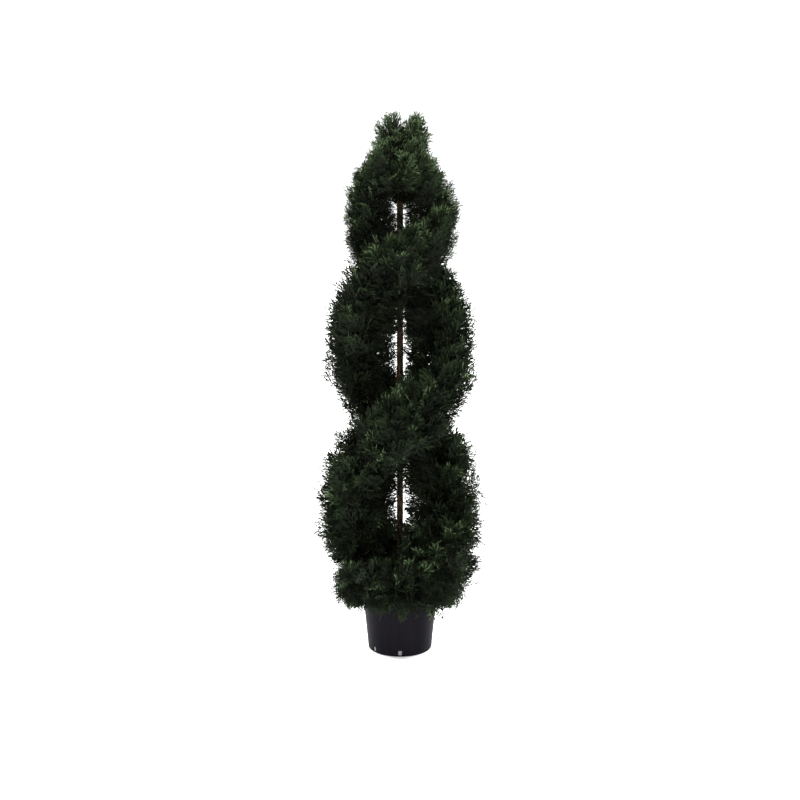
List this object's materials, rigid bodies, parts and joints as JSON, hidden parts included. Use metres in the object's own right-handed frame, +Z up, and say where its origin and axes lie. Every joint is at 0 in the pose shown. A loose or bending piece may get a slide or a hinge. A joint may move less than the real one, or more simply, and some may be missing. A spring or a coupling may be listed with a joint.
{
  "type": "artificial double spiral cypress topiary in a nursery pot",
  "caption": "Tall artificial spiral topiary: strands of clipped cypress sprays wind up a straight pole set in cement in a plain tapered pot.",
  "frame": {"origin": "middle of the pot's flat underside, on the pole's axis", "axes": "+Z up along the pole, -Y towards the front seen in the picture, +X to the right of that view"},
  "size_m": [0.5037, 0.4878, 1.5234],
  "materials": {
    "pot_plastic": "matte",
    "cement": "matte",
    "bark": "matte",
    "foliage": "matte"
  },
  "bodies": {
    "root": {"pot": "pot_plastic", "cement_fill": "cement", "trunk": "bark", "foliage_a_01": "foliage", "foliage_a_02": "foliage", "foliage_a_03": "foliage", "foliage_a_04": "foliage", "foliage_a_05": "foliage", "foliage_a_06": "foliage", "foliage_a_07": "foliage", "foliage_a_08": "foliage", "foliage_a_09": "foliage", "foliage_a_10": "foliage", "foliage_a_11": "foliage", "foliage_a_12": "foliage", "foliage_a_13": "foliage", "foliage_b_01": "foliage", "foliage_b_02": "foliage", "foliage_b_03": "foliage", "foliage_b_04": "foliage", "foliage_b_05": "foliage", "foliage_b_06": "foliage", "foliage_b_07": "foliage", "foliage_b_08": "foliage", "foliage_b_09": "foliage", "foliage_b_10": "foliage", "foliage_b_11": "foliage", "foliage_b_12": "foliage", "foliage_b_13": "foliage", "foliage_tip": "foliage"}
  },
  "joints": []
}
